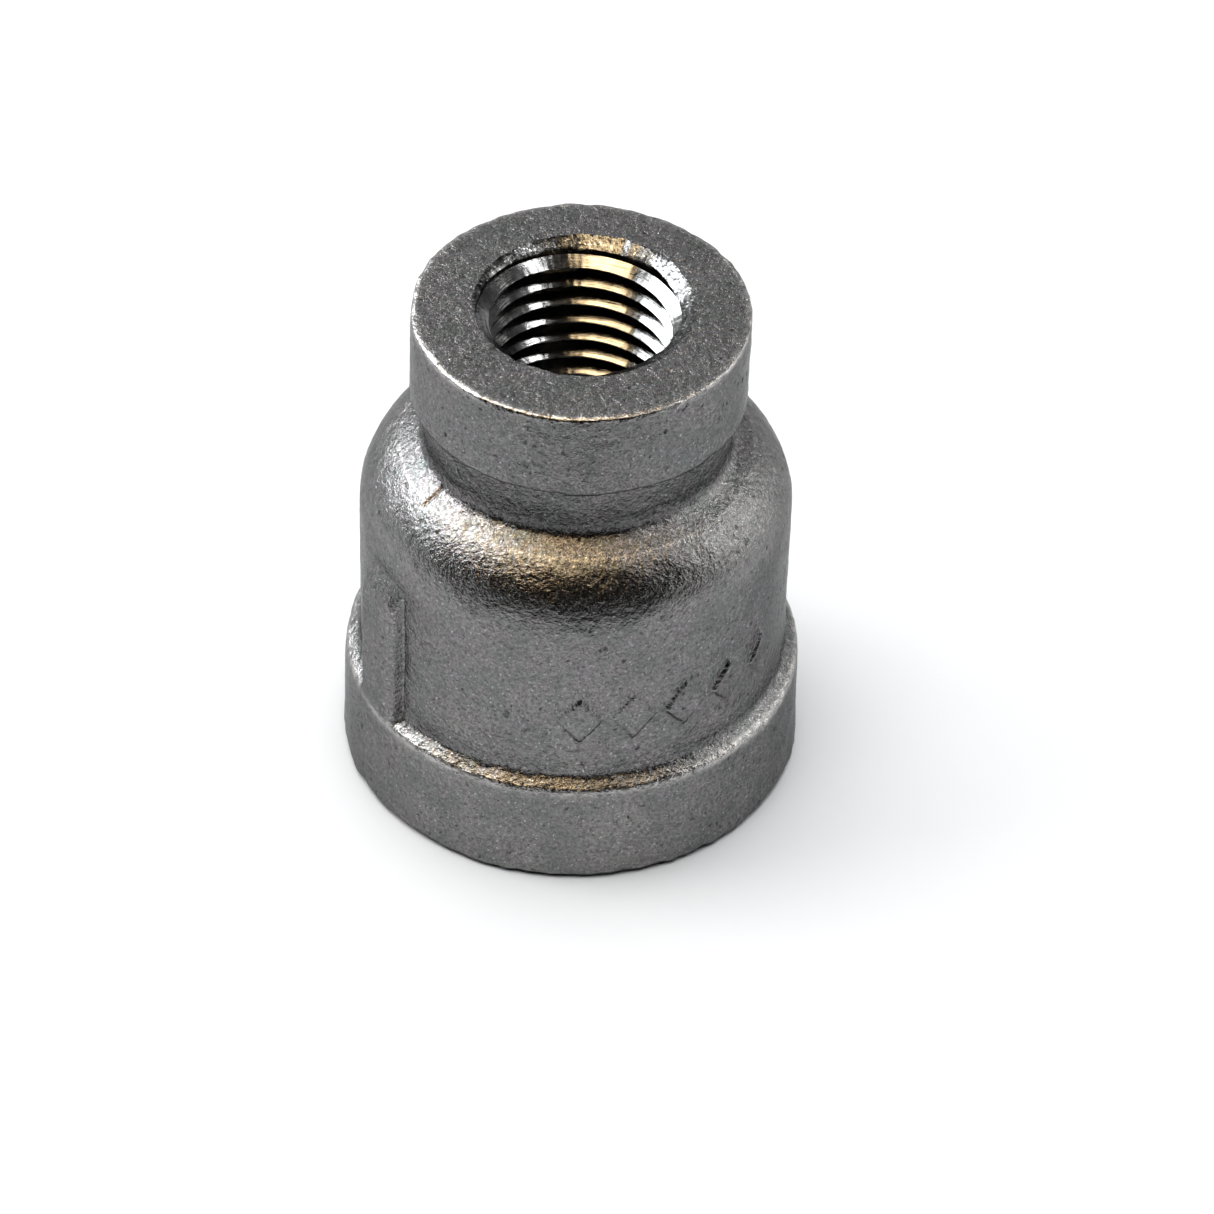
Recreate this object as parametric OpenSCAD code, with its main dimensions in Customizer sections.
// Reducing pipe coupling, 1/2-14 NPT female to 1/4-18 NPT female, one banded stainless casting.
// Z is the pipe axis. The large end rests on Z = 0 and the small end's face is at the top.
// The casting is given as the regions that it is made up of. They meet face to face, with no gap
// and no overlap, and together they are exactly the one casting.

/* [Overall] */
// Length from end face to end face
coupling_h = 34.5; // [33:0.5:38]
// Wall thickness of the barrel and the shoulder
wall_t = 3.5; // [2.6:0.1:3.9]

/* [Large end band] */
// Outer radius of the band at the large end face
band_foot_r = 14.7; // [14.2:0.05:15.7]
// Outer radius of the band at its upper rim, smaller by the draft
band_rim_r = 14.55; // [14.1:0.05:15.6]
// Height of the band's upper rim
band_rim_z = 7.5; // [6:0.1:8]
// Height at which the sloping ledge above the band meets the barrel
ledge_top_z = 8.1; // [8.1:0.1:9.6]
// Size of the broken edges at both end faces
edge_break = 0.3; // [0.1:0.05:0.5]

/* [Barrel and shoulder] */
// Outer radius of the barrel
barrel_r = 13.6; // [13.2:0.05:14]
// Height at which the barrel ends and the shoulder begins to curve in
shoulder_z = 19.3; // [18.8:0.1:20]
// Radius of the shoulder's outer curve
shoulder_r = 5.5; // [4.8:0.1:5.9]

/* [Neck and collar] */
// Outer radius of the neck where it leaves the shoulder
neck_foot_r = 9.55; // [8.9:0.05:10]
// Outer radius of the neck just under the collar
neck_top_r = 10.1; // [9:0.05:10.3]
// Outer radius of the collar round the small end
collar_r = 10.5; // [10.3:0.05:11.2]
// Height of the collar's lower edge
collar_z = 28.45; // [26.5:0.05:30]

/* [Wrench ribs] */
// Direction of the first rib about Z, counted from -Y towards -X
rib_azimuth = 59.3; // [0:0.1:360]
// Angle that one rib spans
rib_span = 17.5; // [10:0.5:24]
// Height at which a rib's outer face ends
rib_face_top_z = 17.0; // [14:0.1:17.5]
// Height at which a rib's sloping end runs out on the barrel
rib_end_z = 18.5; // [17.8:0.1:18.8]

/* [Threads] */
// Pitch of the small end thread, 18 turns to the inch
small_pitch = 1.4111; // [1.3:0.0001:1.5]
// Drilled radius of the small end before tapping, 7/16 inch drill
small_drill_r = 5.556; // [5.4:0.001:5.7]
// Radius of the countersink in the small end face
small_sink_r = 7; // [6.8:0.05:7.4]
// Full turns of the small end thread
small_turns = 7; // [5:1:8]
// Pitch of the large end thread, 14 turns to the inch
large_pitch = 1.8143; // [1.7:0.0001:1.9]
// Drilled radius of the large end before tapping, 23/32 inch drill
large_drill_r = 9.128; // [9:0.001:9.3]
// Radius of the countersink in the large end face
large_sink_r = 11.1; // [10.8:0.05:11.4]
// Full turns of the large end thread
large_turns = 6; // [4:1:6]

/* [Hidden] */
cast_grey = "#8d8a85";
machined_steel = "#c8c3b8";
// Thread form shared by both ends: 60 degree flanks, with flats as fractions of the pitch
flank_slope = tan(30);
thread_depth = 0.7;
root_flat = 0.1;
// Taper pipe thread: the radius changes by 1 mm in 32 mm of depth
taper = 1 / 32;
// Plain stretch between the last full turn and the end of the large end thread's ring
thread_runout = 0.6;
// The shoulder's curve is struck from this radius, and the chamber inside shares its centre
shoulder_centre_r = barrel_r - shoulder_r;
chamber_r = barrel_r - wall_t;
chamber_curve_r = shoulder_r - wall_t;
ceiling_z = shoulder_z + chamber_curve_r;
// Height at which the shoulder's curve reaches the neck
neck_z = shoulder_z + sqrt(pow(shoulder_r, 2) - pow(neck_foot_r - shoulder_centre_r, 2));
// The small end's countersink is a 120 degree cone, the large end's a 90 degree one
small_sink_depth = (small_sink_r - small_drill_r) / tan(60);
large_sink_depth = (large_sink_r - large_drill_r) / tan(45);
small_bore_length = coupling_h - ceiling_z;
large_bore_length = large_sink_depth + large_turns * large_pitch + thread_runout;
$fn = 96;

// Half section of one thread groove cut in a bore: groove i of a thread, with depth along +Y
function groove_points(drill_r, pitch, start, i) =
    let (
        mouth = start + i * pitch,
        root_r = drill_r + thread_depth * pitch - taper * mouth,
        flank = (root_r - drill_r) * flank_slope,
        root_start = mouth + flank,
        root_end = root_start + root_flat * pitch
    )
    [[drill_r, mouth], [root_r, root_start], [root_r, root_end], [drill_r, root_end + flank]];

// Ring of metal that holds one end's countersink and thread, its end face at Z = 0
module thread_ring(drill_r, pitch, turns, sink_r, sink_depth, ring_length) {
    // Width of the first land, which starts where the countersink meets the drilled bore
    land = 0.1 * pitch;
    grooves = [
        for (i = [0:turns - 1])
            each groove_points(drill_r, pitch, sink_depth + land, i)
    ];
    rotate_extrude()
        polygon(concat(
            [[sink_r, ring_length], [sink_r, 0], [drill_r, sink_depth]],
            grooves,
            [[drill_r, ring_length]]
        ));
}

// Band round the large end, with the sloping ledge that leads up to the barrel
module large_end_band() {
    color(cast_grey)
        rotate_extrude()
            polygon([
                [large_sink_r, 0],
                [band_foot_r - edge_break, 0],
                [band_foot_r, edge_break],
                [band_rim_r, band_rim_z],
                [barrel_r, ledge_top_z],
                [large_sink_r, ledge_top_z]
            ]);
}

// Straight barrel: outside the thread ring first, then round the chamber
module barrel() {
    color(cast_grey)
        rotate_extrude()
            polygon([
                [large_sink_r, ledge_top_z],
                [barrel_r, ledge_top_z],
                [barrel_r, shoulder_z],
                [chamber_r, shoulder_z],
                [chamber_r, large_bore_length],
                [large_sink_r, large_bore_length]
            ]);
}

// One wrench rib: a sector of a ring that stands flush with the band's rim
module wrench_rib(azimuth) {
    rotate([0, 0, -90 - azimuth - rib_span / 2])
        rotate_extrude(angle = rib_span)
            polygon([
                [barrel_r, ledge_top_z],
                [band_rim_r, band_rim_z],
                [band_rim_r, rib_face_top_z],
                [barrel_r, rib_end_z]
            ]);
}

// Rib on the -X side of the barrel
module wrench_rib_left() {
    color(cast_grey) wrench_rib(rib_azimuth);
}

// Rib on the opposite side of the barrel
module wrench_rib_right() {
    color(cast_grey) wrench_rib(rib_azimuth + 180);
}

// Round shoulder between the barrel and the neck, hollow underneath
module shoulder() {
    color(cast_grey)
        rotate_extrude()
            difference() {
                union() {
                    intersection() {
                        translate([shoulder_centre_r, shoulder_z])
                            circle(r = shoulder_r);
                        translate([shoulder_centre_r, shoulder_z])
                            square([shoulder_r, neck_z - shoulder_z]);
                    }
                    translate([small_sink_r, shoulder_z])
                        square([shoulder_centre_r - small_sink_r, neck_z - shoulder_z]);
                }
                translate([shoulder_centre_r, shoulder_z])
                    circle(r = chamber_curve_r);
                translate([0, shoulder_z - chamber_curve_r])
                    square([shoulder_centre_r, 2 * chamber_curve_r]);
            }
}

// Slightly flared neck between the shoulder and the collar
module neck() {
    color(cast_grey)
        rotate_extrude()
            polygon([
                [small_sink_r, neck_z],
                [neck_foot_r, neck_z],
                [neck_top_r, collar_z],
                [small_sink_r, collar_z]
            ]);
}

// Collar round the small end
module small_end_collar() {
    color(cast_grey)
        rotate_extrude()
            polygon([
                [small_sink_r, collar_z],
                [collar_r, collar_z],
                [collar_r, coupling_h - edge_break],
                [collar_r - edge_break, coupling_h],
                [small_sink_r, coupling_h]
            ]);
}

// Countersink and 1/2-14 thread of the large end
module large_end_thread() {
    color(machined_steel)
        thread_ring(
            large_drill_r, large_pitch, large_turns,
            large_sink_r, large_sink_depth, large_bore_length
        );
}

// Countersink and 1/4-18 thread of the small end, drilled through to the chamber
module small_end_thread() {
    color(machined_steel)
        translate([0, 0, coupling_h])
            mirror([0, 0, 1])
                thread_ring(
                    small_drill_r, small_pitch, small_turns,
                    small_sink_r, small_sink_depth, small_bore_length
                );
}

large_end_band();
barrel();
wrench_rib_left();
wrench_rib_right();
shoulder();
neck();
small_end_collar();
large_end_thread();
small_end_thread();
